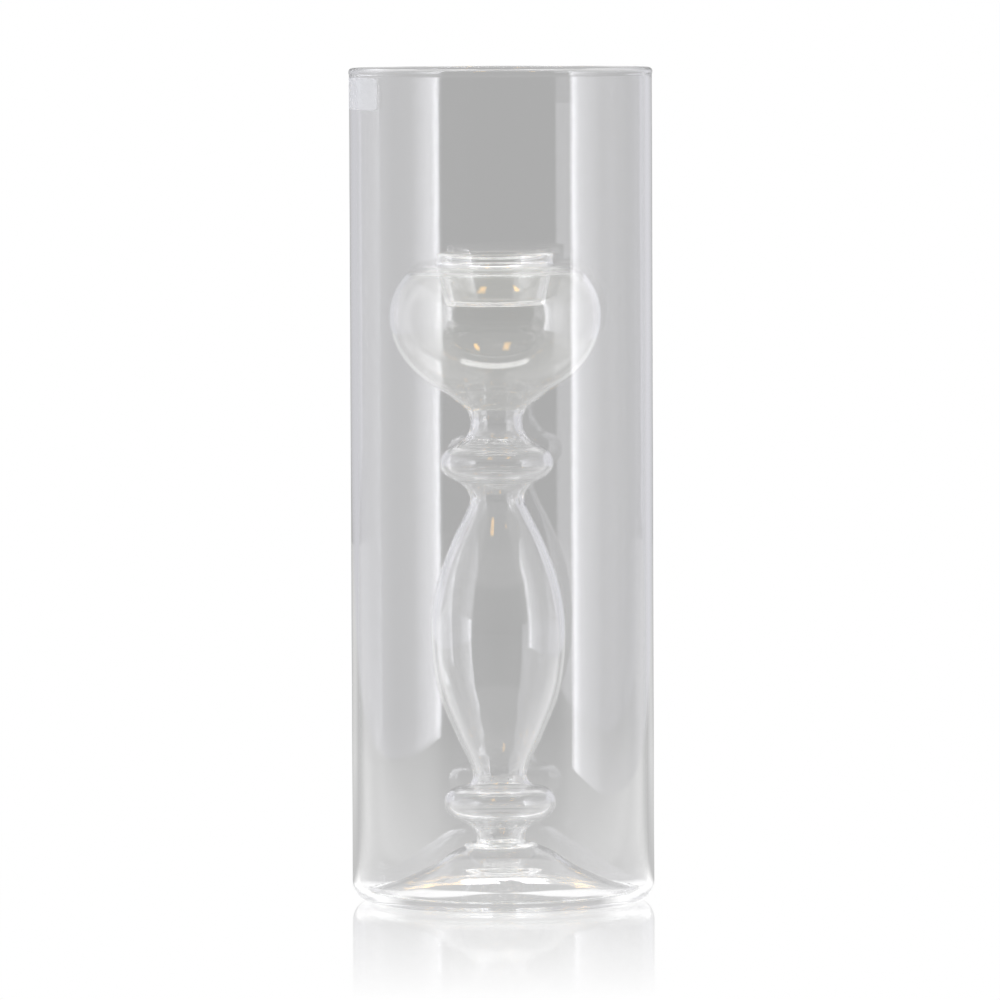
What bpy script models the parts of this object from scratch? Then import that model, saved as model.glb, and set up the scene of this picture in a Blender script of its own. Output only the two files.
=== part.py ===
"""A clear borosilicate hurricane light: one candle cup on a blown glass stem, inside a tall glass tube.

The glass is modelled as the sections that a lampworker makes and then welds. Each section is a turned
shell, and a hairline gap stands where two of them are fused. The origin is the centre of the ring that
the light stands on. +Z is up, -Y is the front. The stem stands a little off the tube's centre and leans.
"""

import math

import bpy
from mathutils import Vector

MM = 0.001
WELD_GAP = 0.3 * MM

# The outer tube
TUBE_RADIUS = 60.0 * MM
TUBE_HEIGHT = 331.0 * MM
TUBE_WALL = 2.6 * MM
LIP_THICKNESS = 3.2 * MM
HEEL_WIDTH = 6.6 * MM
HEEL_HEIGHT = 8.0 * MM
HEEL_THICKNESS = 3.1 * MM

# The domed floor, an ogee that rises from the foot ring to the crown
FOOT_WIDTH = 2.6 * MM
FLOOR_EDGE_HEIGHT = 3.8 * MM
FLOOR_WALL = 1.9 * MM
SKIRT_HEIGHT = 7.6 * MM
SKIRT_RADIUS = 41.5 * MM
TURN_HEIGHT = 14.3 * MM
TURN_RADIUS = 27.4 * MM
SHOULDER_HEIGHT = 19.3 * MM
SHOULDER_RADIUS = 19.9 * MM
CROWN_HEIGHT = 22.0 * MM
CROWN_RADIUS = 12.6 * MM

# The bead that seals the floor to the heel, just outside the floor's edge
SEAL_BEAD_RADIUS = 0.7 * MM
SEAL_BEAD_SHIFT = 0.65 * MM

# The stem's place on the floor
STEM_SHIFT = 1.1 * MM
STEM_LEAN = math.radians(0.35)

# The stem, from the crown weld up
CROWN_WELD_LAP = 1.3 * MM
CROWN_WELD_HEIGHT = 3.4 * MM
CROWN_WELD_PROUD = 1.4 * MM
CROWN_WELD_LIFT = 0.4 * MM
STEM_WALL = 1.8 * MM
LOWER_WAIST_RADIUS = 9.6 * MM
LOWER_WAIST_RISE = 2.2 * MM
LOWER_NECK_HEIGHT = 5.6 * MM
KNOP_ROOT_RADIUS = 11.2 * MM
LOWER_KNOP_RADIUS = 22.4 * MM
LOWER_KNOP_HEIGHT = 20.0 * MM
LOWER_KNOP_MIDDLE = 9.4 * MM
LOWER_KNOP_CHEEK_WIDTH = 7.2 * MM
LOWER_KNOP_CHEEK_HEIGHT = 6.6 * MM
LOWER_KNOP_COLLAR_RADIUS = 12.6 * MM
LOWER_KNOP_COLLAR_DROP = 3.7 * MM
BALUSTER_WAIST_RADIUS = 10.6 * MM
BALUSTER_RADIUS = 26.8 * MM
BALUSTER_HEIGHT = 110.1 * MM
UPPER_KNOP_RADIUS = 22.7 * MM
UPPER_KNOP_HEIGHT = 23.9 * MM
UPPER_KNOP_MIDDLE = 14.0 * MM
UPPER_KNOP_CHEEK_WIDTH = 9.0 * MM
UPPER_KNOP_CHEEK_HEIGHT = 7.4 * MM
UPPER_KNOP_FOOT_RISE = 3.8 * MM
UPPER_ROOT_RADIUS = 12.3 * MM
UPPER_WAIST_RADIUS = 10.3 * MM
UPPER_WAIST_DROP = 4.4 * MM
UPPER_NECK_HEIGHT = 10.9 * MM
BOWL_ROOT_RADIUS = 11.6 * MM

# The baluster's outline, from its top down: each share of its swell, at each share of its height
BALUSTER_SHAPE = (
    (0.0, 0.0),
    (0.11, 0.045),
    (0.47, 0.153),
    (0.86, 0.316),
    (1.0, 0.487),
    (0.84, 0.693),
    (0.38, 0.866),
    (0.08, 0.957),
    (0.0, 1.0),
)

# The bowl, two half ellipsoids that meet at the equator
BOWL_RADIUS = 42.1 * MM
BOWL_UPPER_RISE = 30.8 * MM
BOWL_LOWER_DROP = 34.8 * MM
BOWL_EQUATOR_ABOVE_ROOT = 37.3 * MM
BOWL_SHOULDER_ABOVE_EQUATOR = 19.3 * MM
BOWL_SHOULDER_ROUND = 3.0 * MM
BOWL_FILLET_RADIUS = 17.4 * MM
BOWL_FILLET_RISE = 4.2 * MM
BOWL_WALL = 2.0 * MM

# The candle cup, a cone that hangs through the bowl's shoulder
CUP_WALL = 1.5 * MM
CUP_RIM_RADIUS = 23.3 * MM
CUP_COLLAR_RADIUS = 23.0 * MM
CUP_COLLAR_HEIGHT = 5.2 * MM
CUP_BASE_RADIUS = 20.1 * MM
CUP_DROP = 15.5 * MM
CUP_HEEL_ROUND = 1.6 * MM
CUP_SEAL_WIDTH = 2.0 * MM

# The glass's colour: clear, a little deeper in the thick floor, and greenest in the welds
CLEAR = (0.93, 0.95, 0.95)
FLOOR_TINT = (0.91, 0.94, 0.93)
WELD_TINT = (0.90, 0.94, 0.92)

# Steps round each section
TUBE_STEPS = 48
FLOOR_STEPS = 40
BOWL_STEPS = 36
CUP_STEPS = 32
STEM_STEPS = 24


def arc(centre, radii, start, end, steps):
    """Points on an ellipse, from one angle to another, in degrees."""
    points = []
    for i in range(steps + 1):
        angle = math.radians(start + (end - start) * i / steps)
        points.append((centre[0] + radii[0] * math.cos(angle), centre[1] + radii[1] * math.sin(angle)))
    return points


def flow(points, steps):
    """A smooth line through the points, with this many steps between each two."""
    knots = [Vector(p) for p in points]
    at = [0.0]
    for a, b in zip(knots, knots[1:]):
        at.append(at[-1] + (b - a).length)
    slopes = []
    for i in range(len(knots)):
        before, after = max(i - 1, 0), min(i + 1, len(knots) - 1)
        slopes.append((knots[after] - knots[before]) / (at[after] - at[before]))
    line = []
    for i in range(len(knots) - 1):
        span = at[i + 1] - at[i]
        for k in range(steps):
            t = k / steps
            line.append(
                (2 * t**3 - 3 * t**2 + 1) * knots[i]
                + (t**3 - 2 * t**2 + t) * span * slopes[i]
                + (3 * t**2 - 2 * t**3) * knots[i + 1]
                + (t**3 - t**2) * span * slopes[i + 1]
            )
    return [tuple(p) for p in line] + [tuple(knots[-1])]


def inset(line, wall):
    """The line moved inwards by the wall, for a line that runs down a section's outer side."""
    moved = []
    for i, point in enumerate(line):
        along = Vector(line[min(i + 1, len(line) - 1)]) - Vector(line[max(i - 1, 0)])
        along.normalize()
        moved.append((point[0] + wall * along.y, point[1] - wall * along.x))
    return moved


def tube_section(outer, wall):
    """The closed outline of a shell with level ends, from its outer line, which runs down."""
    top, bottom = outer[0], outer[-1]
    margin = wall / 4
    inner = [p for p in inset(outer, wall) if bottom[1] + margin < p[1] < top[1] - margin]
    return outer + [(bottom[0] - wall, bottom[1])] + inner[::-1] + [(top[0] - wall, top[1])]


def glass(name, tint):
    """Clear glass for one section. Its tint is the grey-green of its thickness."""
    material = bpy.data.materials.new(name)
    material.use_nodes = True
    shader = material.node_tree.nodes["Principled BSDF"]
    shader.inputs["Base Color"].default_value = (*tint, 1.0)
    shader.inputs["Metallic"].default_value = 0.0
    shader.inputs["Roughness"].default_value = 0.03
    shader.inputs["IOR"].default_value = 1.47
    shader.inputs["Transmission Weight"].default_value = 1.0
    material.diffuse_color = (*tint, 0.4)
    return material


def turned(name, outline, steps, tint, parent):
    """A solid of revolution. Its outline runs down the outer side, and closes unless it meets the axis."""
    mesh = bpy.data.meshes.new(name)
    edges = [(i, i + 1) for i in range(len(outline) - 1)]
    if outline[0][0] > 0:
        edges.append((len(outline) - 1, 0))
    mesh.from_pydata([(r, 0.0, z) for r, z in outline], edges, [])
    section = bpy.data.objects.new(name, mesh)
    collection.objects.link(section)
    section.parent = parent
    section.location.z = -parent.location.z
    screw = section.modifiers.new("turn", "SCREW")
    screw.axis = "Z"
    screw.angle = math.tau
    screw.steps = steps
    screw.render_steps = steps
    screw.use_merge_vertices = True
    screw.merge_threshold = 0.00001
    screw.use_smooth_shade = True
    mesh.materials.append(glass(name + "_glass", tint))
    return section


def frame_axis(name, location, lean):
    """An empty that carries the sections turned about one axis."""
    empty = bpy.data.objects.new(name, None)
    empty.empty_display_size = 20 * MM
    collection.objects.link(empty)
    empty.location = location
    empty.rotation_euler = (0.0, -lean, 0.0)
    return empty


def hurricane_tube():
    """The outer tube, with a fire-polished lip and a heel turned in to the foot."""
    centre = TUBE_RADIUS - TUBE_WALL / 2
    bead = LIP_THICKNESS / 2
    lip = arc((centre, TUBE_HEIGHT - bead), (bead, bead), -40, 220, 10)
    outer_heel = arc((HEEL_END, HEEL_HEIGHT), (HEEL_WIDTH, HEEL_HEIGHT), 0, -90, 6)
    inner_radii = (HEEL_WIDTH - TUBE_WALL, HEEL_HEIGHT - HEEL_THICKNESS)
    inner_heel = arc((HEEL_END, HEEL_HEIGHT), inner_radii, -90, 0, 5)
    lip_start = lip[0][1] - bead
    outline = [(TUBE_RADIUS, lip_start)] + outer_heel + inner_heel
    outline += [(TUBE_RADIUS - TUBE_WALL, lip_start)] + lip[::-1]
    turned("hurricane_tube", outline, TUBE_STEPS, CLEAR, tube_axis)


def domed_floor():
    """The floor, blown up into an ogee dome. Its foot ring stands on the table."""
    edge = HEEL_END - WELD_GAP
    foot_inside = edge - FOOT_WIDTH
    upper = flow(
        [
            (CROWN_RADIUS, CROWN_HEIGHT),
            (SHOULDER_RADIUS, SHOULDER_HEIGHT),
            (TURN_RADIUS, TURN_HEIGHT),
            (SKIRT_RADIUS, SKIRT_HEIGHT),
            (edge, FLOOR_EDGE_HEIGHT),
        ],
        3,
    )
    lower = [p for p in inset(upper, FLOOR_WALL) if CROWN_RADIUS < p[0] < foot_inside - FOOT_WIDTH / 2]
    outline = upper + [(edge, 0.0), (foot_inside, 0.0), (foot_inside, FLOOR_WALL / 2)]
    outline += lower[::-1] + [(CROWN_RADIUS, CROWN_HEIGHT - FLOOR_WALL)]
    turned("domed_floor", outline, FLOOR_STEPS, FLOOR_TINT, tube_axis)


def heel_seal():
    """The bead of glass melted into the crease between the heel and the floor's edge."""
    height = FLOOR_EDGE_HEIGHT + SEAL_BEAD_RADIUS - WELD_GAP
    ring = arc((HEEL_END + SEAL_BEAD_SHIFT, height), (SEAL_BEAD_RADIUS, SEAL_BEAD_RADIUS), 90, -234, 9)
    turned("heel_seal", ring, FLOOR_STEPS, WELD_TINT, tube_axis)


def crown_weld():
    """The ring of melted glass that plugs the crown's hole, round the stem's foot, and laps its edge."""
    plug = CROWN_RADIUS - WELD_GAP - STEM_SHIFT
    inner = LOWER_WAIST_RADIUS - STEM_WALL
    bottom = CROWN_WELD_TOP - CROWN_WELD_HEIGHT
    lap = CROWN_HEIGHT + CROWN_WELD_LIFT
    thickness = CROWN_WELD_TOP - lap
    rim = CROWN_RADIUS + CROWN_WELD_LAP
    brim = arc((rim - thickness, lap), (thickness, thickness), 90, 0, 4)
    outline = [(inner, CROWN_WELD_TOP)] + brim + [(plug, lap), (plug, bottom), (inner, bottom)]
    turned("crown_weld", outline, STEM_STEPS, WELD_TINT, stem_axis)


def lower_neck():
    """The short waist between the crown weld and the lower knop."""
    bottom = CROWN_WELD_TOP + WELD_GAP
    top = bottom + LOWER_NECK_HEIGHT
    waist = [(LOWER_WAIST_RADIUS, bottom + LOWER_WAIST_RISE), (LOWER_WAIST_RADIUS, bottom)]
    line = flow([(KNOP_ROOT_RADIUS, top)] + waist, 3)
    turned("lower_neck", tube_section(line, STEM_WALL), STEM_STEPS, CLEAR, stem_axis)
    return top


def lower_knop(bottom):
    """The flattened hollow knop. The baluster's foot flares over its almost level top as a collar."""
    top = bottom + LOWER_KNOP_HEIGHT
    centre = (LOWER_KNOP_RADIUS - LOWER_KNOP_CHEEK_WIDTH, bottom + LOWER_KNOP_MIDDLE)
    collar = (LOWER_KNOP_COLLAR_RADIUS, top - LOWER_KNOP_COLLAR_DROP)
    line = flow([(BALUSTER_WAIST_RADIUS, top), collar], 2)
    line += arc(centre, (LOWER_KNOP_CHEEK_WIDTH, LOWER_KNOP_CHEEK_HEIGHT), 78, -78, 9)
    line += [(KNOP_ROOT_RADIUS, bottom)]
    turned("lower_knop", tube_section(line, STEM_WALL), STEM_STEPS, CLEAR, stem_axis)
    return top


def baluster(bottom):
    """The long hollow swelling of the stem, fullest near its middle."""
    top = bottom + BALUSTER_HEIGHT
    swell = BALUSTER_RADIUS - BALUSTER_WAIST_RADIUS
    points = [(BALUSTER_WAIST_RADIUS + swell * out, top - BALUSTER_HEIGHT * down) for out, down in BALUSTER_SHAPE]
    line = flow(points, 2)
    turned("baluster", tube_section(line, STEM_WALL), STEM_STEPS, CLEAR, stem_axis)
    return top


def upper_knop(bottom):
    """The upper hollow knop, rounder than the lower one, with a drawn-in root above and below."""
    top = bottom + UPPER_KNOP_HEIGHT
    centre = (UPPER_KNOP_RADIUS - UPPER_KNOP_CHEEK_WIDTH, bottom + UPPER_KNOP_MIDDLE)
    line = [(UPPER_ROOT_RADIUS, top)]
    line += arc(centre, (UPPER_KNOP_CHEEK_WIDTH, UPPER_KNOP_CHEEK_HEIGHT), 76, -76, 9)
    line += flow([(UPPER_ROOT_RADIUS, bottom + UPPER_KNOP_FOOT_RISE), (BALUSTER_WAIST_RADIUS, bottom)], 2)
    turned("upper_knop", tube_section(line, STEM_WALL), STEM_STEPS, CLEAR, stem_axis)
    return top


def upper_neck(bottom):
    """The waist under the bowl, which flares at both ends."""
    top = bottom + UPPER_NECK_HEIGHT
    waist = (UPPER_WAIST_RADIUS, top - UPPER_WAIST_DROP)
    line = flow([(BOWL_ROOT_RADIUS, top), waist, (UPPER_ROOT_RADIUS, bottom)], 4)
    turned("upper_neck", tube_section(line, STEM_WALL), STEM_STEPS, CLEAR, stem_axis)
    return top


def bowl(bottom):
    """The flattened hollow bowl. Its level shoulder is open where the candle cup hangs."""
    equator = bottom + BOWL_EQUATOR_ABOVE_ROOT
    shoulder = equator + BOWL_SHOULDER_ABOVE_EQUATOR
    mouth = CUP_COLLAR_RADIUS + 2 * WELD_GAP + CUP_SEAL_WIDTH
    start = math.asin((BOWL_SHOULDER_ABOVE_EQUATOR - BOWL_SHOULDER_ROUND / 2) / BOWL_UPPER_RISE)
    corner = BOWL_RADIUS * math.cos(start) - BOWL_SHOULDER_ROUND / 2
    outer = [(mouth, shoulder), (corner - BOWL_SHOULDER_ROUND, shoulder)]
    outer += [(corner, shoulder - BOWL_SHOULDER_ROUND / 6)]
    outer += arc((0.0, equator), (BOWL_RADIUS, BOWL_UPPER_RISE), math.degrees(start), 0, 5)
    outer += arc((0.0, equator), (BOWL_RADIUS, BOWL_LOWER_DROP), -10, -60, 6)
    outer += [(BOWL_FILLET_RADIUS, bottom + BOWL_FILLET_RISE), (BOWL_ROOT_RADIUS, bottom)]
    inner = [p for p in inset(outer, BOWL_WALL)[1:] if p[1] > bottom + BOWL_WALL / 2]
    outline = outer + [(BOWL_ROOT_RADIUS - BOWL_WALL, bottom)] + inner[::-1]
    outline += [(mouth, shoulder - BOWL_WALL)]
    turned("bowl", outline, BOWL_STEPS, CLEAR, stem_axis)
    return shoulder


def cup_seal(shoulder):
    """The flat ring of weld between the bowl's shoulder and the cup's collar."""
    inner = CUP_COLLAR_RADIUS + WELD_GAP
    outer = inner + CUP_SEAL_WIDTH
    radii = (CUP_SEAL_WIDTH / 2, BOWL_WALL / 2)
    ring = arc(((inner + outer) / 2, shoulder - radii[1]), radii, 45, -225, 6)
    turned("cup_seal", ring, CUP_STEPS, WELD_TINT, stem_axis)


def candle_cup(shoulder):
    """The cup that takes a tea light: a short collar, a tapered wall and a flat floor."""
    rim = shoulder + CUP_COLLAR_HEIGHT
    base = shoulder - CUP_DROP
    bead = CUP_WALL / 2
    lip = arc((CUP_RIM_RADIUS - bead, rim - bead), (bead, bead), 135, 0, 4)
    heel = arc((CUP_BASE_RADIUS - CUP_HEEL_ROUND, base + CUP_HEEL_ROUND), (CUP_HEEL_ROUND,) * 2, 0, -90, 3)
    floor = base + CUP_WALL
    wall_foot = CUP_BASE_RADIUS - CUP_WALL
    outline = [(0.0, floor), (wall_foot - CUP_WALL, floor), (wall_foot, floor + CUP_WALL)]
    outline += [(CUP_COLLAR_RADIUS - CUP_WALL, shoulder)] + lip + [(CUP_COLLAR_RADIUS, shoulder)]
    outline += heel + [(0.0, base)]
    turned("candle_cup", outline, CUP_STEPS, CLEAR, stem_axis)


for old in list(bpy.data.objects):
    bpy.data.objects.remove(old)

collection = bpy.data.collections.new("glass_hurricane_light")
bpy.context.scene.collection.children.link(collection)
bpy.context.scene.collection.children.link(bpy.data.collections.new("cutters"))

HEEL_END = TUBE_RADIUS - HEEL_WIDTH
CROWN_WELD_TOP = CROWN_HEIGHT + CROWN_WELD_PROUD

tube_axis = frame_axis("tube_axis", (0.0, 0.0, 0.0), 0.0)
stem_axis = frame_axis("stem_axis", (-STEM_SHIFT, 0.0, CROWN_HEIGHT), STEM_LEAN)

hurricane_tube()
domed_floor()
heel_seal()
crown_weld()
neck_top = lower_neck()
knop_top = lower_knop(neck_top + WELD_GAP)
baluster_top = baluster(knop_top + WELD_GAP)
upper_knop_top = upper_knop(baluster_top + WELD_GAP)
upper_neck_top = upper_neck(upper_knop_top + WELD_GAP)
bowl_shoulder = bowl(upper_neck_top + WELD_GAP)
cup_seal(bowl_shoulder)
candle_cup(bowl_shoulder)
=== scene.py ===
import math

import bmesh
import bpy
from mathutils import Matrix, Vector, noise


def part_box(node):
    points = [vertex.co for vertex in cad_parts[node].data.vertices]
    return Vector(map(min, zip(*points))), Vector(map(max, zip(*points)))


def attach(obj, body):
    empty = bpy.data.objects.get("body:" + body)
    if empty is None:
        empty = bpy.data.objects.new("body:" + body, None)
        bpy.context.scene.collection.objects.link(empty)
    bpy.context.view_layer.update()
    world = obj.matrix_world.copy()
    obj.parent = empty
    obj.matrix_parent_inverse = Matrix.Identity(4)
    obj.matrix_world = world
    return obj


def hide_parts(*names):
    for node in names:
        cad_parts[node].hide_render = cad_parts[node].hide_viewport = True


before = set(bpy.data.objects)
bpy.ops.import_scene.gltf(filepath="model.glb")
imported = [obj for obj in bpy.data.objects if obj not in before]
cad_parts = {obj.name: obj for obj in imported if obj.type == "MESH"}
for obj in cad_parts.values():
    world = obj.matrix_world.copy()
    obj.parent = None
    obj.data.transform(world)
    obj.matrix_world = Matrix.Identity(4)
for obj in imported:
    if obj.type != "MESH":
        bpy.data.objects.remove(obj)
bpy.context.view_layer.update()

# A clear glass hurricane light in the order that a lampworker builds it: the outer tube and its domed
# floor, then the stem from the crown weld up to the bowl, then the cup. Sizes are in millimetres.
MM = 0.001


# Outer tube: drawn borosilicate, cut to length, its lip melted round in the flame and its heel turned
# in on a carbon paddle. One piece of glass, which the floor is sealed to.
TUBE_STEPS = 224
TUBE_WALL = 2.6
LIP_THICKNESS = 3.2
LIP_SPACING = 0.22
LIP_PASSES = 8
WALL_TOP = 315
WALL_FOOT = 10
WALL_STEP = 5
HEEL_WIDTH = 6.6
HEEL_HEIGHT = 8.0
HEEL_THICKNESS = 3.1


def reach(node):
    """A turned node's largest radius, and its lowest and highest point, in millimetres."""
    low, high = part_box(node)
    return (high[0] - low[0]) / 2 / MM, low[2] / MM, high[2] / MM


def linear(code, alpha=1.0):
    """A linear colour from an sRGB hex code."""
    parts = [int(code[i : i + 2], 16) / 255 for i in (1, 3, 5)]
    return tuple(c / 12.92 if c <= 0.04045 else ((c + 0.055) / 1.055) ** 2.4 for c in parts) + (alpha,)


def add(tree, kind, settings=None, links=None):
    """Adds a node, with its settings, and its inputs either set or linked from another node's output."""
    node = tree.nodes.new(kind)
    for name, value in (settings or {}).items():
        setattr(node, name, value)
    for name, value in (links or {}).items():
        if isinstance(value, bpy.types.NodeSocket):
            tree.links.new(value, node.inputs[name])
        else:
            node.inputs[name].default_value = value
    return node


def borosilicate(name, grain, stretch, depth, tint="#FFFFFF"):
    """Clear borosilicate. Its surface swells and dips by depth, over about a grain's width, in mm."""
    material = bpy.data.materials.new(name)
    material.use_nodes = True
    tree = material.node_tree
    tree.nodes.clear()
    place = add(tree, "ShaderNodeTexCoord").outputs["Object"]
    drawn = add(tree, "ShaderNodeMapping", {}, {"Vector": place, "Scale": (1.0, 1.0, 1.0 / stretch)})
    swell = add(
        tree,
        "ShaderNodeTexNoise",
        {},
        {"Vector": drawn.outputs[0], "Scale": 1.0 / (grain * MM), "Detail": 2.0, "Roughness": 0.45},
    )
    bump = add(
        tree,
        "ShaderNodeBump",
        {},
        {"Height": swell.outputs[0], "Distance": depth * MM, "Strength": 1.0},
    )
    glass = add(
        tree,
        "ShaderNodeBsdfPrincipled",
        {},
        {
            "Base Color": linear(tint),
            "Roughness": 0.0,
            "IOR": 1.474,
            "Transmission Weight": 1.0,
            "Normal": bump.outputs[0],
        },
    )
    out = add(tree, "ShaderNodeOutputMaterial")
    tree.links.new(glass.outputs[0], out.inputs["Surface"])
    return material


def arc(centre, radii, start, end, steps):
    """Points on an ellipse, from one angle to another, in degrees."""
    angles = [math.radians(start + (end - start) * i / steps) for i in range(steps + 1)]
    return [(centre[0] + radii[0] * math.cos(a), centre[1] + radii[1] * math.sin(a)) for a in angles]


def melt(line, spacing=0.5, passes=10):
    """The line with even spacing and its corners rounded, as the flame rounds glass. Its ends stay."""
    knots = [Vector(p) for p in line]
    points, rest = [knots[0]], 0.0
    for a, b in zip(knots, knots[1:]):
        length = (b - a).length
        at = spacing - rest
        while at < length:
            points.append(a.lerp(b, at / length))
            at += spacing
        rest = length - (at - spacing)
    points[-1 if rest < spacing / 2 and len(points) > 1 else len(points) :] = [knots[-1]]
    for _ in range(passes):
        middle = [(a + 2 * b + c) / 4 for a, b, c in zip(points, points[1:], points[2:])]
        points = [points[0]] + middle + [points[-1]]
    return [tuple(p) for p in points]


def inset(line, wall):
    """The line moved inwards by the wall, for a line that runs down the outer side."""
    moved = []
    for i, point in enumerate(line):
        along = (Vector(line[min(i + 1, len(line) - 1)]) - Vector(line[max(i - 1, 0)])).normalized()
        moved.append((point[0] + wall * along.y, point[1] - wall * along.x))
    return moved


def turned(name, outline, steps, material, node, sway=None, place=Matrix(), fused=None):
    """Spins an outline round the axis into one closed piece of glass that stands for a CAD node.

    The outline runs down the outer side, and closes unless it ends on the axis. The sway moves each point
    in or out. Where fused(r, z) is true the piece is melted into its neighbour, and its face is unseen."""
    points, index = [], {}
    for k in range(steps):
        out = Vector((math.cos(math.tau * k / steps), math.sin(math.tau * k / steps), 0.0))
        for i, (r, z) in enumerate(outline):
            if r == 0 and k > 0:
                index[k, i] = index[0, i]
                continue
            spot = Vector((r * out.x, r * out.y, z))
            if sway and r > 0:
                spot += out * sway(spot)
            index[k, i] = len(points)
            points.append(place @ (spot * MM))
    faces, skins = [], []
    rows = len(outline) if outline[0][0] > 0 else len(outline) - 1
    for i in range(rows):
        j = (i + 1) % len(outline)
        middle = (outline[i][0] + outline[j][0]) / 2, (outline[i][1] + outline[j][1]) / 2
        skin = 1 if fused and fused(*middle) else 0
        for k in range(steps):
            after = (k + 1) % steps
            corners = [index[k, i], index[k, j], index[after, j], index[after, i]]
            faces.append(list(dict.fromkeys(corners)))
            skins.append(skin)
    mesh = bpy.data.meshes.new(name)
    mesh.from_pydata(points, [], faces)
    mesh.materials.append(material)
    mesh.materials.append(melted)
    mesh.polygons.foreach_set("material_index", skins)
    mesh.shade_smooth()
    mesh.set_sharp_from_angle(angle=math.radians(40))
    piece = bpy.data.objects.new(name, mesh)
    bpy.context.scene.collection.objects.link(piece)
    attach(piece, "root")
    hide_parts(node)
    return piece


# Inside a melted joint the glass is one, so a face there lets the light straight through.
melted = bpy.data.materials.new("melted joint in borosilicate")
melted.use_nodes = True
melted.node_tree.nodes.clear()
through = add(melted.node_tree, "ShaderNodeBsdfTransparent")
add(melted.node_tree, "ShaderNodeOutputMaterial", {}, {"Surface": through.outputs[0]})

# Drawn tube is colourless and bright, with faint long streaks that run along the draw.
tube_glass = borosilicate("drawn borosilicate tube", grain=7.0, stretch=30.0, depth=0.006)
tube_width, _, tube_top = reach("hurricane_tube")
tube_radius = tube_width - (LIP_THICKNESS - TUBE_WALL) / 2
lip_centre = (tube_radius - TUBE_WALL / 2, tube_top - LIP_THICKNESS / 2)
heel_end = tube_radius - HEEL_WIDTH


def tube_sway(point):
    """Drawn tube is a little out of round, and its heel, worked by hand, rather more so."""
    round_error = 0.08 * math.sin(2 * math.atan2(point.y, point.x) + 0.7)
    worked = math.exp(-((point.z / 18) ** 2))
    return round_error + (0.05 + 0.25 * worked) * noise.noise(point / 26) * min(point.z / 2, 1)


lip = arc(lip_centre, (LIP_THICKNESS / 2, LIP_THICKNESS / 2), 90, -40, 20)
below_lip = [(tube_radius, tube_top - LIP_THICKNESS * 1.3), (tube_radius, tube_top - 12)]
wall_rows = range(WALL_TOP, WALL_FOOT, -WALL_STEP)
outer_rows = melt(lip + below_lip, LIP_SPACING, LIP_PASSES) + [(tube_radius, z) for z in wall_rows]
outer_heel = arc((heel_end, HEEL_HEIGHT), (HEEL_WIDTH, HEEL_HEIGHT), 0, -90, 22)
inner_heel = arc(
    (heel_end, HEEL_HEIGHT), (HEEL_WIDTH - TUBE_WALL, HEEL_HEIGHT - HEEL_THICKNESS), -90, 0, 18
)
inner_rows = [(2 * lip_centre[0] - r, z) for r, z in outer_rows[1:]]
tube_outline = outer_rows + outer_heel + inner_heel + inner_rows[::-1]
turned(
    "hurricane_tube_glass",
    tube_outline,
    TUBE_STEPS,
    tube_glass,
    "hurricane_tube",
    tube_sway,
    fused=lambda r, z: r < heel_end + 0.02,
)


# Label: a small clear polyester film with round corners, left blank, stuck just under the lip and
# wrapped round the tube's side.
LABEL_HEIGHT = 12.7
LABEL_WIDTH = 40.0
LABEL_CORNER = 2.2
LABEL_DROP = 3.6
LABEL_BEARING = -73.0
FILM = 0.05
CLOUDS_PER_MM = 0.9
FILM_ROWS = 24
FILM_COLUMNS = 40

points = []
for radius in (tube_radius + FILM / 2, tube_radius + FILM * 3 / 2):
    for j in range(FILM_ROWS + 1):
        down = LABEL_HEIGHT * j / FILM_ROWS
        into = max(LABEL_CORNER - min(down, LABEL_HEIGHT - down), 0)
        half = LABEL_WIDTH / 2 - LABEL_CORNER + math.sqrt(LABEL_CORNER**2 - into**2)
        for i in range(FILM_COLUMNS + 1):
            turn = math.radians(LABEL_BEARING) + half * (2 * i / FILM_COLUMNS - 1) / radius
            out = Vector((math.sin(turn), -math.cos(turn), 0.0))
            spot = out * radius + Vector((0, 0, tube_top - LABEL_DROP - down))
            points.append((spot + out * tube_sway(spot)) * MM)
count = FILM_COLUMNS + 1
layer = count * (FILM_ROWS + 1)
faces = []
for j in range(FILM_ROWS):
    for i in range(FILM_COLUMNS):
        a = j * count + i
        faces.append([a, a + 1, a + count + 1, a + count])
        faces.append([layer + a, layer + a + count, layer + a + count + 1, layer + a + 1])
edge = list(range(FILM_COLUMNS)) + [FILM_COLUMNS + j * count for j in range(FILM_ROWS)]
edge += [layer - 1 - i for i in range(FILM_COLUMNS)] + [j * count for j in range(FILM_ROWS, 0, -1)]
for a, b in zip(edge, edge[1:] + edge[:1]):
    faces.append([a, layer + a, layer + b, b])
mesh = bpy.data.meshes.new("label_film")
mesh.from_pydata(points, [], faces)
mesh.shade_smooth()
mesh.set_sharp_from_angle(angle=math.radians(40))

# Cast polyester is clear but a little milky, so that the label reads as a pale patch on the glass.
film = bpy.data.materials.new("clear polyester label film")
film.use_nodes = True
tree = film.node_tree
tree.nodes.clear()
place = add(tree, "ShaderNodeTexCoord").outputs["Object"]
cloud = add(tree, "ShaderNodeTexNoise", {}, {"Vector": place, "Scale": CLOUDS_PER_MM / MM, "Detail": 2.0})
milky = add(
    tree,
    "ShaderNodeMapRange",
    {},
    {"Value": cloud.outputs[0], "From Min": 0.3, "From Max": 0.7, "To Min": 0.2, "To Max": 0.24},
)
skin = add(
    tree,
    "ShaderNodeBsdfPrincipled",
    {},
    {"Base Color": linear("#F4F5F8"), "Roughness": 0.6, "IOR": 1.3, "Alpha": milky.outputs[0]},
)
add(tree, "ShaderNodeOutputMaterial", {}, {"Surface": skin.outputs[0]})
mesh.materials.append(film)
label = bpy.data.objects.new("label_film", mesh)
bpy.context.scene.collection.objects.link(label)
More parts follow.
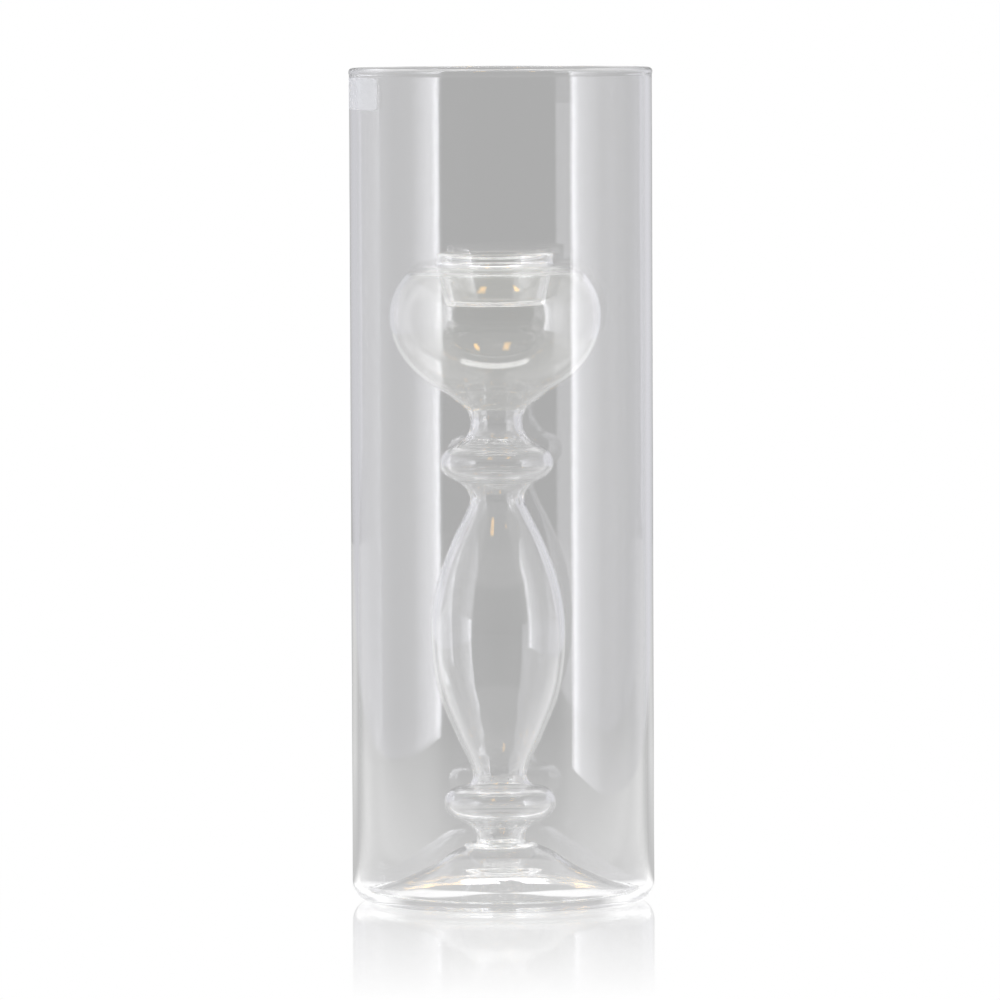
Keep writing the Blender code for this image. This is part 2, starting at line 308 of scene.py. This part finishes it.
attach(label, "root")


# Domed floor: a blown disc pushed up into an ogee, spun while hot, so that faint rings run round it.
# Its foot ring carries the whole light.
FLOOR_STEPS = 192
FLOOR_WALL = 1.9
FOOT_WIDTH = 2.6
CROWN_RADIUS = 12.6
OGEE = [(19.9, 19.3), (27.4, 14.3), (41.5, 7.6)]
FLOOR_EDGE_HEIGHT = 3.8
FLOOR_SPACING = 0.6
FLOOR_PASSES = 6
RIPPLE = 0.008
LUMP_WIDTH = 14.0
LUMP_RISE = 4.0


def flow(points, steps=12):
    """A smooth line through the points."""
    knots = [Vector(p) for p in points]
    spans = [(b - a).length for a, b in zip(knots, knots[1:])]
    at = [sum(spans[:i]) for i in range(len(knots))]
    slopes = []
    for i in range(len(knots)):
        before, after = max(i - 1, 0), min(i + 1, len(knots) - 1)
        slopes.append((knots[after] - knots[before]) / (at[after] - at[before]))
    line = []
    for i, span in enumerate(spans):
        for k in range(steps):
            t = k / steps
            line.append(
                (2 * t**3 - 3 * t**2 + 1) * knots[i]
                + (t**3 - 2 * t**2 + t) * span * slopes[i]
                + (3 * t**2 - 2 * t**3) * knots[i + 1]
                + (t**3 - t**2) * span * slopes[i + 1]
            )
    return [tuple(p) for p in line] + [tuple(knots[-1])]


def floor_sway(point):
    """Rings left by spinning, and soft lumps towards the seal at the heel."""
    r = math.hypot(point.x, point.y)
    lumps = max(0.0, (r - 30) / 22)
    rings = RIPPLE * math.sin(r * 1.1)
    return rings + (0.05 + 0.3 * lumps) * noise.noise(point / LUMP_WIDTH) * min(point.z / LUMP_RISE, 1)


# Blown glass is clear like the tube, with slow broad swells instead of streaks.
floor_glass = borosilicate("blown borosilicate floor", grain=8.0, stretch=1.0, depth=0.012)
crown_height = reach("domed_floor")[2] + 0.5
foot_edge = heel_end - 0.03
foot_inside = foot_edge - FOOT_WIDTH
ogee = [(CROWN_RADIUS, crown_height)] + OGEE + [(foot_edge, FLOOR_EDGE_HEIGHT)]
top_line = melt(flow(ogee), FLOOR_SPACING, FLOOR_PASSES)
under_line = [p for p in inset(top_line, FLOOR_WALL) if CROWN_RADIUS < p[0] < foot_inside - 1.2]
floor_outline = (
    top_line
    + [(foot_edge, z / 10) for z in range(34, 0, -6)]
    + [(foot_edge, 0.0), (foot_inside + 0.4, 0.0), (foot_inside, 0.5), (foot_inside - 0.4, FLOOR_WALL / 2)]
    + under_line[::-1]
    + [(CROWN_RADIUS, crown_height - FLOOR_WALL)]
)
turned(
    "domed_floor_glass",
    floor_outline,
    FLOOR_STEPS,
    floor_glass,
    "domed_floor",
    floor_sway,
    fused=lambda r, z: r > foot_edge - 0.02 and z < HEEL_THICKNESS,
)


# Heel seal: a thread of hot glass run into the crease between heel and floor, wavy where the hand
# slowed, with a few thicker drops. It is never quite even, which shows as a broken bright line.
SEAL_RADIUS = 0.75
SEAL_OUT = 0.5
SEAL_DROP = 0.3


def seal_sway(point):
    """The thread wanders and thickens as it is laid."""
    return 0.25 * noise.noise(point / 6) + 0.2 * noise.noise(point / 2.2)


# Weld rod is the same glass, a shade greener where it is thick, and dimpled by the flame.
weld_glass = borosilicate("flame-worked weld", grain=1.6, stretch=1.0, depth=0.02, tint="#FEFFFE")
_, seal_low, seal_high = reach("heel_seal")
seal_centre = (heel_end + SEAL_OUT, (seal_low + seal_high) / 2 - SEAL_DROP)
seal_ring = arc(seal_centre, (SEAL_RADIUS, SEAL_RADIUS), 90, -240, 11)
turned("heel_seal_glass", seal_ring, FLOOR_STEPS, weld_glass, "heel_seal", seal_sway)


# Crown weld: the stem is stuck to the floor's crown with a thick gather, pressed down while soft. The
# lumpy ring is the most uneven glass on the light.
STEM_STEPS = 144
STEM_WALL = 1.9
STEM_WAIST = 9.6
SEAM = 0.015
PUCKER_REACH = 2.2
GATHER = [(0.6, 0.5), (3.0, 0.3), (4.8, 1.4), (4.9, 2.4), (3.0, 3.6), (-0.6, 3.9)]
GATHER_INSIDE = 3.0
weld_low, weld_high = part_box("crown_weld")
cup_low, cup_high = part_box("candle_cup")
weld_centre = (Vector(weld_low) + Vector(weld_high)) / 2
rim_centre = Vector(((cup_low[0] + cup_high[0]) / 2, (cup_low[1] + cup_high[1]) / 2, cup_high[2]))
lean = (rim_centre - weld_centre).to_track_quat("Z", "Y").to_matrix().to_4x4()
stem_place = Matrix.Translation(weld_centre) @ lean @ Matrix.Translation((0, 0, -weld_centre.z))
STEM_NODES = ["crown_weld", "lower_neck", "lower_knop", "baluster", "upper_knop", "upper_neck", "bowl"]
JOINTS = [(reach(a)[2] + reach(b)[1]) / 2 for a, b in zip(STEM_NODES, STEM_NODES[1:])]


def stem_sway(point):
    """Blown by mouth, so never quite true, and puckered where two sections were melted together."""
    near = sum(math.exp(-(((point.z - z) / PUCKER_REACH) ** 2)) for z in JOINTS)
    pucker = min(near, 1.0) * (0.22 * noise.noise(point / 3.2) + 0.16 * noise.noise(point / 1.7))
    return 0.05 * noise.noise(point / 16) + pucker


def weld_sway(point):
    """Lumps of the gather."""
    outer = max(0.0, math.hypot(point.x, point.y) - 9) / 5
    return min(outer, 1) * (0.8 * noise.noise(point / 4) + 0.4 * noise.noise(point / 1.8))


weld_top = JOINTS[0]
weld_inside = STEM_WAIST - STEM_WALL
weld_outline = melt(
    [(STEM_WAIST, weld_top - SEAM)]
    + [(STEM_WAIST + out, weld_top - down) for out, down in GATHER]
    + [(weld_inside, weld_top - GATHER_INSIDE), (weld_inside, weld_top - SEAM)],
    spacing=0.5,
    passes=3,
)
turned(
    "crown_weld_glass",
    weld_outline,
    STEM_STEPS,
    weld_glass,
    "crown_weld",
    weld_sway,
    stem_place,
    fused=lambda r, z: z > weld_top - 2 * SEAM,
)


# Stem and bowl: one line runs down the outside from the bowl's shoulder to the crown weld, and each
# section is the stretch of it between two joints. The joints are melted, so the line never breaks.
BOWL_WALL = 1.6
BOWL_UPPER_RISE = 30.8
BOWL_LOWER_DROP = 34.8
BOWL_EQUATOR_RISE = 37.3
BOWL_ROOT = 11.6
BOWL_FILLET = [(17.4, 4.2), (13.0, 1.2)]
SHOULDER_EDGE = 29.5
MOUTH_MARGIN = 0.3
UPPER_WAIST = [(10.3, 4.7), (10.7, 8.0)]
UPPER_KNOP_ROOT = 12.3
UPPER_CHEEK = (9.0, 7.4)
UPPER_KNOP_MIDDLE = 14.0
BALUSTER_WAIST = 10.6
BALUSTER_SHAPE = [
    (0.0, 0.0),
    (0.11, 0.045),
    (0.47, 0.153),
    (0.86, 0.316),
    (1.0, 0.487),
    (0.84, 0.693),
    (0.38, 0.866),
    (0.08, 0.957),
    (0.0, 1.0),
]
LOWER_COLLAR = [(11.5, 2.3), (12.6, 3.8)]
LOWER_CHEEK = (7.2, 6.6)
LOWER_KNOP_MIDDLE = 9.4
KNOP_STEPS = 14

# Blown by mouth and turned in the flame: almost smooth, with the slowest of swells.
stem_glass = borosilicate("blown borosilicate stem", grain=9.0, stretch=2.5, depth=0.008)
bowl_glass = borosilicate("blown borosilicate bowl", grain=16.0, stretch=1.0, depth=0.012, tint="#FFFFFE")

bowl_radius, bowl_bottom, shoulder = reach("bowl")
equator = bowl_bottom + BOWL_EQUATOR_RISE
mouth = reach("cup_seal")[0] + MOUTH_MARGIN
upper_start = math.degrees(math.asin((shoulder - equator - 1.4) / BOWL_UPPER_RISE))
bowl_line = [(mouth, shoulder), (SHOULDER_EDGE, shoulder - 0.1)]
bowl_line += arc((0, equator), (bowl_radius, BOWL_UPPER_RISE), upper_start, 0, 20)[1:]
bowl_line += arc((0, equator), (bowl_radius, BOWL_LOWER_DROP), 0, -60, 24)[1:]
bowl_line += [(r, bowl_bottom + rise) for r, rise in BOWL_FILLET]

upper_knop_radius, upper_knop_bottom, upper_knop_top = reach("upper_knop")
lower_knop_radius, lower_knop_bottom, _ = reach("lower_knop")
baluster_radius, baluster_bottom, baluster_top = reach("baluster")
upper_neck_line = flow(
    [(BOWL_ROOT, bowl_bottom)]
    + [(r, bowl_bottom - down) for r, down in UPPER_WAIST]
    + [(UPPER_KNOP_ROOT, upper_knop_top)]
)
upper_middle = (upper_knop_radius - UPPER_CHEEK[0], upper_knop_bottom + UPPER_KNOP_MIDDLE)
upper_cheek = arc(upper_middle, UPPER_CHEEK, 76, -76, KNOP_STEPS)
upper_foot = [(UPPER_KNOP_ROOT, upper_knop_bottom + 3.8), (BALUSTER_WAIST + 0.5, upper_knop_bottom + 1.7)]
swell = baluster_radius - BALUSTER_WAIST
drop = baluster_top - baluster_bottom
baluster_line = flow([(BALUSTER_WAIST + swell * r, baluster_top - drop * z) for r, z in BALUSTER_SHAPE])
lower_collar = [(r, baluster_bottom - down) for r, down in LOWER_COLLAR]
lower_middle = (lower_knop_radius - LOWER_CHEEK[0], lower_knop_bottom + LOWER_KNOP_MIDDLE)
lower_cheek = arc(lower_middle, LOWER_CHEEK, 80, -78, KNOP_STEPS)
lower_neck_line = flow([(11.3, lower_knop_bottom), (9.7, weld_top + 2.3), (STEM_WAIST, weld_top)])
stem_line = melt(
    bowl_line
    + upper_neck_line
    + upper_cheek
    + upper_foot
    + baluster_line
    + lower_collar
    + lower_cheek
    + lower_neck_line,
    spacing=0.5,
    passes=4,
)
stem_inside = melt(inset(stem_line, STEM_WALL), spacing=0.6, passes=6)


def cut(line, high, low):
    """The stretch of a falling line between two heights, with a point on each."""
    kept = []
    for a, b in zip(line, line[1:]):
        for level in (high, low):
            if a[1] >= level > b[1] and a[1] != b[1]:
                share = (a[1] - level) / (a[1] - b[1])
                kept.append((a[0] + (b[0] - a[0]) * share, level))
        if low < b[1] < high:
            kept.append(b)
    return kept


for i, node in enumerate(STEM_NODES[1:-1]):
    high, low = JOINTS[i + 1] - SEAM, JOINTS[i] + SEAM
    outline = cut(stem_line, high, low) + cut(stem_inside, high, low)[::-1]
    turned(
        node + "_glass",
        outline,
        STEM_STEPS,
        stem_glass,
        node,
        stem_sway,
        stem_place,
        fused=lambda r, z: z > high - SEAM or z < low + SEAM,
    )

bowl_low = JOINTS[-1] + SEAM
bowl_outside = [p for p in stem_line if p[1] > equator] + cut(stem_line, equator, bowl_low)
bowl_inside = [p for p in inset(stem_line, BOWL_WALL) if p[1] > equator]
bowl_inside += cut(melt(inset(stem_line, BOWL_WALL), spacing=0.45, passes=4), equator, bowl_low)
bowl_inside[0] = (mouth, shoulder - BOWL_WALL)
bowl_outline = bowl_outside + bowl_inside[::-1]
turned(
    "bowl_glass",
    bowl_outline,
    TUBE_STEPS,
    bowl_glass,
    "bowl",
    stem_sway,
    stem_place,
    fused=lambda r, z: z < bowl_low + SEAM or (r < mouth + SEAM and z > equator),
)


# Cup seal: the bowl's shoulder is melted onto the cup's collar, and a small fillet of glass climbs it.
CUP_STEPS = 160
COLLAR = 23.0
COLLAR_FILLET = [(1.4, 0.05), (0.7, 0.25), (0.3, 0.6), (0.08, 1.1)]
seal_outline = [(mouth - SEAM, shoulder)]
seal_outline += [(COLLAR + out, shoulder + rise) for out, rise in COLLAR_FILLET]
seal_outline += [(COLLAR + SEAM, shoulder)]
seal_outline += [(COLLAR - 0.25, shoulder - BOWL_WALL), (mouth - SEAM, shoulder - BOWL_WALL)]
turned(
    "cup_seal_glass",
    seal_outline,
    CUP_STEPS,
    weld_glass,
    "cup_seal",
    None,
    stem_place,
    fused=lambda r, z: (r > mouth - 2 * SEAM or r < COLLAR + 0.06) and z < shoulder + 1.0,
)


# Candle cup: pressed in a mould, then its rim melted smooth. The mould leaves soft upright ripples in
# the tapered wall. Its flat floor is made to hold a tea light.
CUP_WALL = 1.5
CUP_HEEL = 1.6
CUP_CORNER = 1.4
CUP_FOOT = 20.1
CUP_LIP_DROP = 2.5
WALL_ROWS = 12

# Pressed glass is clear with a breath of warmth, and its mould leaves soft upright waves.
cup_glass = borosilicate("pressed borosilicate cup", grain=3.2, stretch=4.0, depth=0.03, tint="#FFFFFE")
rim_radius, cup_base, cup_rim = reach("candle_cup")


def cup_sway(point):
    """Upright ripples from the mould, strongest low in the wall."""
    angle = math.atan2(point.y, point.x)
    upright = Vector((math.cos(angle) * 5, math.sin(angle) * 5, point.z / 30))
    low = min(max((shoulder - point.z) / 4, 0), 1)
    return low * (0.09 * noise.noise(upright) + 0.04 * noise.noise(point / 4))


floor_level = cup_base + CUP_WALL
wall_foot = floor_level + CUP_WALL
heel_top = cup_base + CUP_HEEL
taper = COLLAR - CUP_FOOT
band = taper * BOWL_WALL / (shoulder - heel_top)
shares = [k / WALL_ROWS for k in range(1, WALL_ROWS + 1)]
floor_rows = [(k / 2, floor_level) for k in range(34)]
corner_middle = (CUP_FOOT - CUP_WALL - CUP_CORNER, floor_level + CUP_CORNER)
floor_corner = arc(corner_middle, (CUP_CORNER, CUP_CORNER), -80, -10, 6)
inner_wall = [(CUP_FOOT - CUP_WALL + taper * k, wall_foot + (shoulder - wall_foot) * k) for k in shares]
lip_middle = (rim_radius - CUP_WALL / 2, cup_rim - CUP_WALL / 2)
cup_lip = arc(lip_middle, (CUP_WALL / 2, CUP_WALL / 2), 170, 0, 12)
weld_band = [(COLLAR - band * k / 2, shoulder - BOWL_WALL * k / 2) for k in range(3)]
outer_wall = [(COLLAR - taper * k, shoulder - (shoulder - heel_top) * k) for k in shares[2:-1]]
cup_heel = arc((CUP_FOOT - CUP_HEEL, heel_top), (CUP_HEEL, CUP_HEEL), 0, -90, 8)
cup_outline = (
    floor_rows
    + floor_corner
    + inner_wall
    + [(COLLAR - CUP_WALL + 0.1, shoulder + CUP_LIP_DROP)]
    + cup_lip
    + [(COLLAR + 0.1, shoulder + CUP_LIP_DROP), (COLLAR + 0.05, shoulder + 1.05)]
    + weld_band
    + outer_wall
    + cup_heel
    + [(k / 2, cup_base) for k in range(34, -1, -1)]
)
turned(
    "candle_cup_glass",
    cup_outline,
    CUP_STEPS,
    cup_glass,
    "candle_cup",
    cup_sway,
    stem_place,
    fused=lambda r, z: r > COLLAR - 0.5 and shoulder - BOWL_WALL < z < shoulder + 1.0,
)


# Studio: a pale floor with a faint, fading reflection, which the glass sees glowing with painted light,
# a tall sheet of light standing on it on each side, a soft ceiling, a darker front, a small softbox
# overhead and two small warm lamps. Only the glass sees these lights: the camera sees plain white past it.
FLOOR_RADIUS = 2.4
MIRROR_SHARE = 0.55
MIRROR_FADE = 0.37
FLOOR_DROP = 0.0002
DAYLIGHT = (0.985, 0.985, 1.03, 1.0)
SHEET_STEPS = 60
ROOM_GLOW = 0.43
OVERHEAD_STRENGTH = 4.5

bpy.ops.mesh.primitive_circle_add(
    vertices=128, radius=FLOOR_RADIUS, fill_type="NGON", location=(0, 0, -FLOOR_DROP)
)
studio_floor = bpy.context.object
studio_floor.name = "studio_floor"

pale = bpy.data.materials.new("pale studio floor")
pale.use_nodes = True
tree = pale.node_tree
tree.nodes.clear()
path = add(tree, "ShaderNodeLightPath")
where = add(tree, "ShaderNodeTexCoord").outputs["Object"]
away = add(tree, "ShaderNodeVectorMath", {"operation": "LENGTH"}, {0: where}).outputs["Value"]
fade = add(
    tree,
    "ShaderNodeMapRange",
    {},
    {"Value": away, "From Min": 0.05, "From Max": MIRROR_FADE, "To Min": MIRROR_SHARE, "To Max": 0.0},
)
# For the glass the floor is not lit but glows with painted light: brighter towards the sides, where the
# sheets of light stand, a little brighter behind and off to the side, and brighter close to the glass,
# dimming with distance.
place = add(tree, "ShaderNodeSeparateXYZ", {}, {0: where})
sideways = add(tree, "ShaderNodeMath", {"operation": "ABSOLUTE"}, {0: place.outputs["X"]}).outputs[0]
lit_side = add(tree, "ShaderNodeMath", {"operation": "DIVIDE"}, {0: sideways, 1: away}).outputs[0]
painted_side_light = add(
    tree,
    "ShaderNodeMapRange",
    {},
    {"Value": lit_side, "From Min": 0.70, "From Max": 0.86, "To Min": 0.0, "To Max": 0.55},
).outputs[0]
painted_near_light = add(
    tree,
    "ShaderNodeMapRange",
    {},
    {"Value": away, "From Min": 0.1, "From Max": 0.9, "To Min": 0.56, "To Max": 0.43},
).outputs[0]
behind = add(tree, "ShaderNodeMath", {"operation": "DIVIDE"}, {0: place.outputs["Y"], 1: away}).outputs[0]
lit_back = add(
    tree,
    "ShaderNodeMapRange",
    {},
    {"Value": behind, "From Min": 0.78, "From Max": 0.92, "To Min": 0.0, "To Max": 0.25},
).outputs[0]
off_axis = add(
    tree,
    "ShaderNodeMapRange",
    {},
    {"Value": lit_side, "From Min": 0.12, "From Max": 0.3, "To Min": 0.0, "To Max": 1.0},
).outputs[0]
far = add(
    tree,
    "ShaderNodeMapRange",
    {},
    {"Value": away, "From Min": 0.15, "From Max": 0.7, "To Min": 0.0, "To Max": 1.0},
).outputs[0]
painted_back_light = add(tree, "ShaderNodeMath", {"operation": "MULTIPLY"}, {0: lit_back, 1: off_axis}).outputs[0]
painted_back_light = add(tree, "ShaderNodeMath", {"operation": "MULTIPLY"}, {0: painted_back_light, 1: far}).outputs[0]
sides = add(tree, "ShaderNodeMath", {"operation": "ADD"}, {0: painted_side_light, 1: painted_back_light}).outputs[0]
painted_floor_light = add(tree, "ShaderNodeMath", {"operation": "ADD"}, {0: sides, 1: painted_near_light})
white = add(tree, "ShaderNodeEmission", {}, {"Color": (1, 1, 1, 1), "Strength": 1.0})
gloss = add(tree, "ShaderNodeBsdfGlossy", {}, {"Color": (1, 1, 1, 1), "Roughness": 0.05})
seen = add(tree, "ShaderNodeMixShader", {}, {0: fade.outputs[0], 1: white.outputs[0], 2: gloss.outputs[0]})
# This emission is the painted floor light, seen by every ray that does not come from the camera.
lit = add(tree, "ShaderNodeEmission", {}, {"Color": (1, 1, 1, 1), "Strength": painted_floor_light.outputs[0]})
to_camera = path.outputs["Is Camera Ray"]
both = add(tree, "ShaderNodeMixShader", {}, {0: to_camera, 1: lit.outputs[0], 2: seen.outputs[0]})
add(tree, "ShaderNodeOutputMaterial", {}, {"Surface": both.outputs[0]})
studio_floor.data.materials.append(pale)


def curtain(name, side, distance, height, stops):
    """A flat sheet of light that stands on the table. Its stops are bearings and brightnesses."""
    sheet = bmesh.new()
    first, last = stops[0][0], stops[-1][0]
    turns = [math.radians(first + (last - first) * i / SHEET_STEPS) for i in range(SHEET_STEPS + 1)]
    foot = [sheet.verts.new((side * distance, -distance / math.tan(a), 0.0)) for a in turns]
    edges = [sheet.edges.new(pair) for pair in zip(foot, foot[1:])]
    raised = bmesh.ops.extrude_edge_only(sheet, edges=edges)["geom"]
    for vert in raised:
        if isinstance(vert, bmesh.types.BMVert):
            vert.co.z = height
    mesh = bpy.data.meshes.new(name)
    sheet.to_mesh(mesh)
    sheet.free()
    cloth = bpy.data.materials.new(name + " cloth")
    cloth.use_nodes = True
    tree = cloth.node_tree
    tree.nodes.clear()
    spot = add(tree, "ShaderNodeTexCoord").outputs["Object"]
    parts = add(tree, "ShaderNodeSeparateXYZ", {}, {0: spot})
    times = {"operation": "MULTIPLY"}
    across = add(tree, "ShaderNodeMath", times, {0: parts.outputs["X"], 1: side}).outputs[0]
    front = add(tree, "ShaderNodeMath", times, {0: parts.outputs["Y"], 1: -1.0}).outputs[0]
    turn = add(tree, "ShaderNodeMath", {"operation": "ARCTAN2"}, {0: across, 1: front}).outputs[0]
    share = add(tree, "ShaderNodeMath", {"operation": "DIVIDE"}, {0: turn, 1: math.pi}).outputs[0]
    fade = add(tree, "ShaderNodeValToRGB", {}, {0: share})
    peak = max(bright for _, bright in stops)
    while len(fade.color_ramp.elements) < len(stops):
        fade.color_ramp.elements.new(1.0)
    for element, (at, bright) in zip(fade.color_ramp.elements, stops):
        element.position = at / 180
        element.color = [bright / peak * part for part in DAYLIGHT]
    lit = add(tree, "ShaderNodeEmission", {}, {"Color": fade.outputs[0], "Strength": peak})
    add(tree, "ShaderNodeOutputMaterial", {}, {"Surface": lit.outputs[0]})
    mesh.materials.append(cloth)
    piece = bpy.data.objects.new(name, mesh)
    bpy.context.scene.collection.objects.link(piece)
    piece.visible_camera = False


curtain(
    "left_softbox",
    side=-1,
    distance=0.757,
    height=0.8,
    stops=[
        (45.6, 1.3),
        (48.0, 2.2),
        (58.0, 2.0),
        (67.0, 1.45),
        (73.0, 1.25),
        (82.0, 1.25),
        (95.0, 1.35),
        (109.0, 1.45),
        (127.0, 0.84),
        (142.0, 0.63),
        (154.0, 0.6),
        (168.0, 0.62),
    ],
)
curtain(
    "right_softbox",
    side=1,
    distance=0.574,
    height=0.6,
    stops=[
        (53.6, 6.0),
        (57.0, 5.8),
        (59.5, 3.6),
        (63.0, 3.0),
        (68.0, 2.4),
        (74.0, 1.9),
        (80.0, 1.2),
        (90.0, 1.0),
        (102.0, 0.72),
        (118.0, 0.74),
        (132.0, 0.64),
        (142.0, 0.66),
        (150.0, 0.7),
        (168.0, 0.62),
    ],
)

world = bpy.data.worlds.new("soft studio")
bpy.context.scene.world = world
world.use_nodes = True
tree = world.node_tree
tree.nodes.clear()
path = add(tree, "ShaderNodeLightPath")
heading = add(tree, "ShaderNodeTexCoord").outputs["Generated"]
axes = add(tree, "ShaderNodeSeparateXYZ", {}, {0: heading})


def formula(operation, *values):
    """The output of a Math node."""
    return add(tree, "ShaderNodeMath", {"operation": operation}, dict(enumerate(values))).outputs[0]


def between(value, low, high, soft):
    """1 between two angles and 0 outside, with soft edges, all in degrees."""
    smooth = {"interpolation_type": "SMOOTHSTEP"}
    edges = []
    for edge, start, end in ((low, 0.0, 1.0), (high, 1.0, 0.0)):
        span = {"From Min": edge - soft / 2, "From Max": edge + soft / 2, "To Min": start, "To Max": end}
        edges.append(add(tree, "ShaderNodeMapRange", smooth, {"Value": value, **span}).outputs[0])
    return formula("MULTIPLY", *edges)


def lamp(bearings, levels, soft, strength):
    """The light of one softbox, by the bearings and the heights between which it is seen."""
    shape = formula("MULTIPLY", between(bearing, *bearings, soft), between(level, *levels, soft))
    return formula("MULTIPLY", shape, strength)


towards = formula("MULTIPLY", axes.outputs["Y"], -1.0)
bearing = formula("MULTIPLY", formula("ARCTAN2", axes.outputs["X"], towards), 180 / math.pi)
level = formula("MULTIPLY", formula("ARCSINE", axes.outputs["Z"]), 180 / math.pi)
LAMPS = [
    ((-200.0, 200.0), (24.0, 100.0), 8.0, 0.33),
    ((-50.0, 50.0), (-30.0, 24.0), 8.0, -0.10),
]
glow = ROOM_GLOW
for one in LAMPS:
    glow = formula("ADD", glow, lamp(*one))
across = formula("MULTIPLY", formula("ARCTAN2", axes.outputs["X"], axes.outputs["Z"]), 180 / math.pi)
along = formula("MULTIPLY", formula("ARCTAN2", axes.outputs["Y"], axes.outputs["Z"]), 180 / math.pi)
overhead = formula("MULTIPLY", between(across, -26.0, 26.0, 4.0), between(along, -3.0, 7.0, 3.0))
glow = formula("ADD", glow, formula("MULTIPLY", overhead, OVERHEAD_STRENGTH))
room = add(tree, "ShaderNodeCombineColor", {}, {0: glow, 1: glow, 2: glow}).outputs[0]
left_warm = lamp((-26.0, -15.0), (48.0, 61.0), 1.5, 7.0)
right_warm = lamp((31.0, 37.0), (50.0, 60.0), 1.0, 12.0)
warm = formula("ADD", left_warm, right_warm)
room = add(
    tree,
    "ShaderNodeMix",
    {"data_type": "RGBA", "blend_type": "ADD", "clamp_factor": False},
    {0: warm, 6: room, 7: linear("#F0B840")},
).outputs[2]
through_glass = formula("GREATER_THAN", path.outputs["Transmission Depth"], 0.5)
glass_ray = formula("MAXIMUM", path.outputs["Is Singular Ray"], through_glass)
glass_ray = formula("MULTIPLY", glass_ray, formula("SUBTRACT", 1.0, path.outputs["Is Camera Ray"]))
sky = add(tree, "ShaderNodeMix", {"data_type": "RGBA"}, {0: glass_ray, 6: (1, 1, 1, 1), 7: room}).outputs[2]
light = add(tree, "ShaderNodeBackground", {}, {"Color": sky, "Strength": 1.0})
add(tree, "ShaderNodeOutputWorld", {}, {"Surface": light.outputs[0]})

# A long lens, a little above the table and far back, as for a catalogue picture. Light turns many
# times inside the walls of glass before it leaves, so that a ray cut short would show as a dark line.
DISTANCE = 3.9
EYE_HEIGHT = 0.377
EYE_ASIDE = -0.00081
LENS = 353.9
SENSOR = 36.0
FAR = 50.0
PITCH_DOWN = 3.195
ROLL = -0.226
BOUNCES = 512
camera = bpy.data.objects.new("camera", bpy.data.cameras.new("camera"))
bpy.context.scene.collection.objects.link(camera)
camera.data.lens = LENS
camera.data.sensor_width = SENSOR
camera.data.clip_end = FAR
pitch = Matrix.Rotation(math.radians(90 - PITCH_DOWN), 4, "X")
roll = Matrix.Rotation(math.radians(ROLL), 4, "Z")
camera.matrix_world = Matrix.Translation((EYE_ASIDE, -DISTANCE, EYE_HEIGHT)) @ pitch @ roll
bpy.context.scene.camera = camera
bpy.context.scene.view_settings.view_transform = "Standard"
bpy.context.scene.cycles.max_bounces = BOUNCES
bpy.context.scene.cycles.transmission_bounces = BOUNCES
bpy.context.scene.cycles.transparent_max_bounces = BOUNCES
bpy.context.scene.cycles.glossy_bounces = BOUNCES
